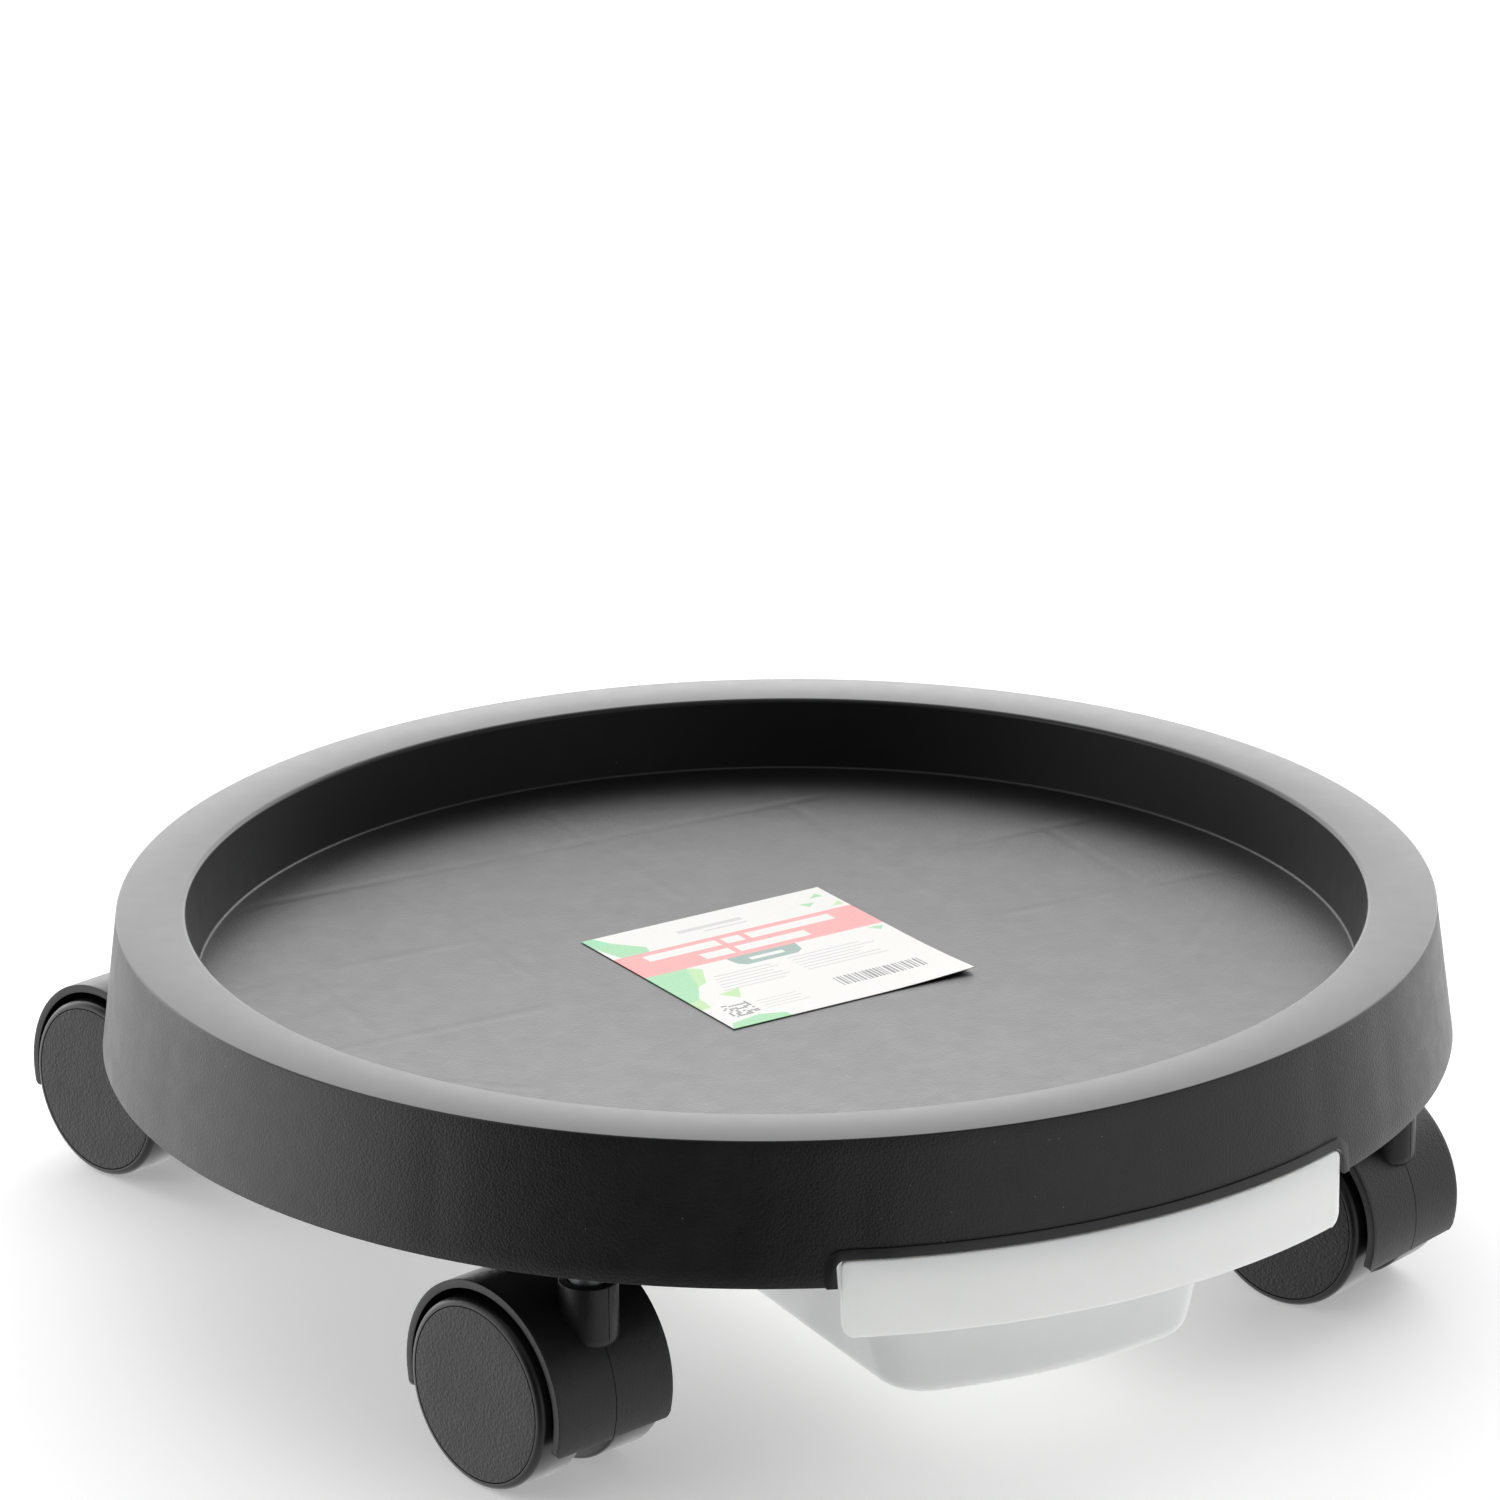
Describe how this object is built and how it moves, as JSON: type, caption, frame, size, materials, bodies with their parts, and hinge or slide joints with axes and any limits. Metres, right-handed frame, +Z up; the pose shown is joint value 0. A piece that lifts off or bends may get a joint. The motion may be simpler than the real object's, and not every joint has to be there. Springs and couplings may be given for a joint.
{
  "type": "plant pot caddy",
  "caption": "Round plant pot caddy: rimmed tray on swivelling twin-wheel casters, with a slide-out drip drawer below.",
  "frame": {"origin": "on the floor, under the middle of the tray", "axes": "+Z up, the drawer pulls out towards -Y, +X to the right when facing the drawer"},
  "size_m": [0.2878, 0.2878, 0.0789],
  "materials": {
    "tray_polypropylene": "satin black moulded polypropylene, fine leather grain on the skirt",
    "drawer_polypropylene": "natural translucent milky white polypropylene",
    "caster_nylon": "fine-grained black nylon",
    "cap_nylon": "leather-grained black nylon",
    "steel": "zinc plated",
    "label_paper": "printed coated paper"
  },
  "bodies": {
    "tray_body": {"tray": "tray_polypropylene", "label": "label_paper", "front_left_caster_stem": "steel", "front_left_caster_grip_ring": "steel", "front_right_caster_stem": "steel", "front_right_caster_grip_ring": "steel", "rear_right_caster_stem": "steel", "rear_right_caster_grip_ring": "steel", "rear_left_caster_stem": "steel", "rear_left_caster_grip_ring": "steel"},
    "drawer_body": {"drawer": "drawer_polypropylene"},
    "front_left_caster": {"front_left_caster_housing": "caster_nylon", "front_left_caster_axle": "steel"},
    "front_left_right_wheel": {"front_left_caster_right_wheel": "caster_nylon", "front_left_caster_right_wheel_cap": "cap_nylon"},
    "front_left_left_wheel": {"front_left_caster_left_wheel": "caster_nylon", "front_left_caster_left_wheel_cap": "cap_nylon"},
    "front_right_caster": {"front_right_caster_housing": "caster_nylon", "front_right_caster_axle": "steel"},
    "front_right_right_wheel": {"front_right_caster_right_wheel": "caster_nylon", "front_right_caster_right_wheel_cap": "cap_nylon"},
    "front_right_left_wheel": {"front_right_caster_left_wheel": "caster_nylon", "front_right_caster_left_wheel_cap": "cap_nylon"},
    "rear_right_caster": {"rear_right_caster_housing": "caster_nylon", "rear_right_caster_axle": "steel"},
    "rear_right_right_wheel": {"rear_right_caster_right_wheel": "caster_nylon", "rear_right_caster_right_wheel_cap": "cap_nylon"},
    "rear_right_left_wheel": {"rear_right_caster_left_wheel": "caster_nylon", "rear_right_caster_left_wheel_cap": "cap_nylon"},
    "rear_left_caster": {"rear_left_caster_housing": "caster_nylon", "rear_left_caster_axle": "steel"},
    "rear_left_right_wheel": {"rear_left_caster_right_wheel": "caster_nylon", "rear_left_caster_right_wheel_cap": "cap_nylon"},
    "rear_left_left_wheel": {"rear_left_caster_left_wheel": "caster_nylon", "rear_left_caster_left_wheel_cap": "cap_nylon"}
  },
  "joints": [
    {"name": "drawer_slide", "type": "slide", "parent": "tray_body", "child": "drawer_body", "axis": [0, -1, 0], "range_m": [0, 0.114]},
    {"name": "front_left_swivel", "type": "hinge", "parent": "tray_body", "child": "front_left_caster", "pos_m": [-0.09405, -0.09405, 0.045], "axis": [0, 0, 1], "continuous": true},
    {"name": "front_left_right_wheel_spin", "type": "hinge", "parent": "front_left_caster", "child": "front_left_right_wheel", "pos_m": [-0.09785, -0.07902, 0.02], "axis": [-0.9694, -0.2453, 0], "continuous": true},
    {"name": "front_left_left_wheel_spin", "type": "hinge", "parent": "front_left_caster", "child": "front_left_left_wheel", "pos_m": [-0.09785, -0.07902, 0.02], "axis": [-0.9694, -0.2453, 0], "continuous": true},
    {"name": "front_right_swivel", "type": "hinge", "parent": "tray_body", "child": "front_right_caster", "pos_m": [0.09405, -0.09405, 0.045], "axis": [0, 0, 1], "continuous": true},
    {"name": "front_right_right_wheel_spin", "type": "hinge", "parent": "front_right_caster", "child": "front_right_right_wheel", "pos_m": [0.08834, -0.07963, 0.02], "axis": [-0.9298, -0.3681, 0], "continuous": true},
    {"name": "front_right_left_wheel_spin", "type": "hinge", "parent": "front_right_caster", "child": "front_right_left_wheel", "pos_m": [0.08834, -0.07963, 0.02], "axis": [-0.9298, -0.3681, 0], "continuous": true},
    {"name": "rear_right_swivel", "type": "hinge", "parent": "tray_body", "child": "rear_right_caster", "pos_m": [0.09405, 0.09405, 0.045], "axis": [0, 0, 1], "continuous": true},
    {"name": "rear_right_right_wheel_spin", "type": "hinge", "parent": "rear_right_caster", "child": "rear_right_right_wheel", "pos_m": [0.08951, 0.10887, 0.02], "axis": [-0.9563, -0.2924, 0], "continuous": true},
    {"name": "rear_right_left_wheel_spin", "type": "hinge", "parent": "rear_right_caster", "child": "rear_right_left_wheel", "pos_m": [0.08951, 0.10887, 0.02], "axis": [-0.9563, -0.2924, 0], "continuous": true},
    {"name": "rear_left_swivel", "type": "hinge", "parent": "tray_body", "child": "rear_left_caster", "pos_m": [-0.09405, 0.09405, 0.045], "axis": [0, 0, 1], "continuous": true},
    {"name": "rear_left_right_wheel_spin", "type": "hinge", "parent": "rear_left_caster", "child": "rear_left_right_wheel", "pos_m": [-0.0984, 0.10892, 0.02], "axis": [-0.9598, -0.2807, 0], "continuous": true},
    {"name": "rear_left_left_wheel_spin", "type": "hinge", "parent": "rear_left_caster", "child": "rear_left_left_wheel", "pos_m": [-0.0984, 0.10892, 0.02], "axis": [-0.9598, -0.2807, 0], "continuous": true}
  ]
}
